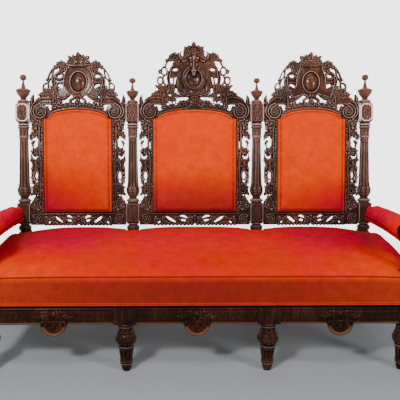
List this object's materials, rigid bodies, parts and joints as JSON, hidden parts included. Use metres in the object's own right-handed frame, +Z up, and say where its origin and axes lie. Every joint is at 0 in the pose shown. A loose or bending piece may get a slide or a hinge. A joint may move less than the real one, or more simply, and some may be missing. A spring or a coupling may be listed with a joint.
{
  "type": "three-seat carved hall sofa",
  "caption": "Carved and pierced walnut hall sofa with arched upholstered back panels between turned posts, a sprung velvet seat and padded arms.",
  "frame": {"origin": "on the floor, under the centre of the sofa's bounding box", "axes": "+X along the sofa towards the viewer's right when facing it, +Y from the front towards the back, +Z up"},
  "size_m": [1.8996, 0.764, 1.4396],
  "materials": {
    "carved_walnut": "waxed and polished, dark reddish brown, satin with bright worn edges",
    "beech": "plain planed frame wood, unfinished",
    "velvet": "short-pile orange-red velvet over stuffing, shading to crimson",
    "back_cloth": "dark brown cotton on thin board",
    "jute_webbing": "coarse woven jute",
    "spring_steel": "copper-washed wire, dull"
  },
  "bodies": {
    "root": {"back_post_outer_left": "carved_walnut", "back_post_inner_left": "carved_walnut", "back_post_inner_right": "carved_walnut", "back_post_outer_right": "carved_walnut", "finial_outer_left": "carved_walnut", "finial_inner_left": "carved_walnut", "finial_inner_right": "carved_walnut", "finial_outer_right": "carved_walnut", "crest_left": "carved_walnut", "crest_centre": "carved_walnut", "crest_right": "carved_walnut", "cartouche_left": "carved_walnut", "cartouche_centre": "carved_walnut", "cartouche_right": "carved_walnut", "panel_side_left_left": "carved_walnut", "panel_side_left_right": "carved_walnut", "panel_side_centre_left": "carved_walnut", "panel_side_centre_right": "carved_walnut", "panel_side_right_left": "carved_walnut", "panel_side_right_right": "carved_walnut", "panel_rail_left": "carved_walnut", "panel_rail_centre": "carved_walnut", "panel_rail_right": "carved_walnut", "back_pad_left": "velvet", "back_pad_centre": "velvet", "back_pad_right": "velvet", "back_lining_left": "back_cloth", "back_lining_centre": "back_cloth", "back_lining_right": "back_cloth", "front_leg_outer_left": "carved_walnut", "front_leg_inner_left": "carved_walnut", "front_leg_inner_right": "carved_walnut", "front_leg_outer_right": "carved_walnut", "front_rail_left": "carved_walnut", "front_rail_centre": "carved_walnut", "front_rail_right": "carved_walnut", "shell_pendant_left": "carved_walnut", "shell_pendant_centre": "carved_walnut", "shell_pendant_right": "carved_walnut", "side_rail_left": "carved_walnut", "side_rail_right": "carved_walnut", "back_rail_left": "beech", "back_rail_centre": "beech", "back_rail_right": "beech", "cross_rail_left": "beech", "cross_rail_right": "beech", "corner_brace_front_left": "beech", "corner_brace_front_right": "beech", "corner_brace_rear_left": "beech", "corner_brace_rear_right": "beech", "arm_support_left": "carved_walnut", "arm_support_right": "carved_walnut", "arm_rail_left": "carved_walnut", "arm_rail_right": "carved_walnut", "arm_pad_left": "velvet", "arm_pad_right": "velvet", "seat_cushion": "velvet", "seat_webbing": "jute_webbing", "lashed_springs": "spring_steel"}
  },
  "joints": []
}
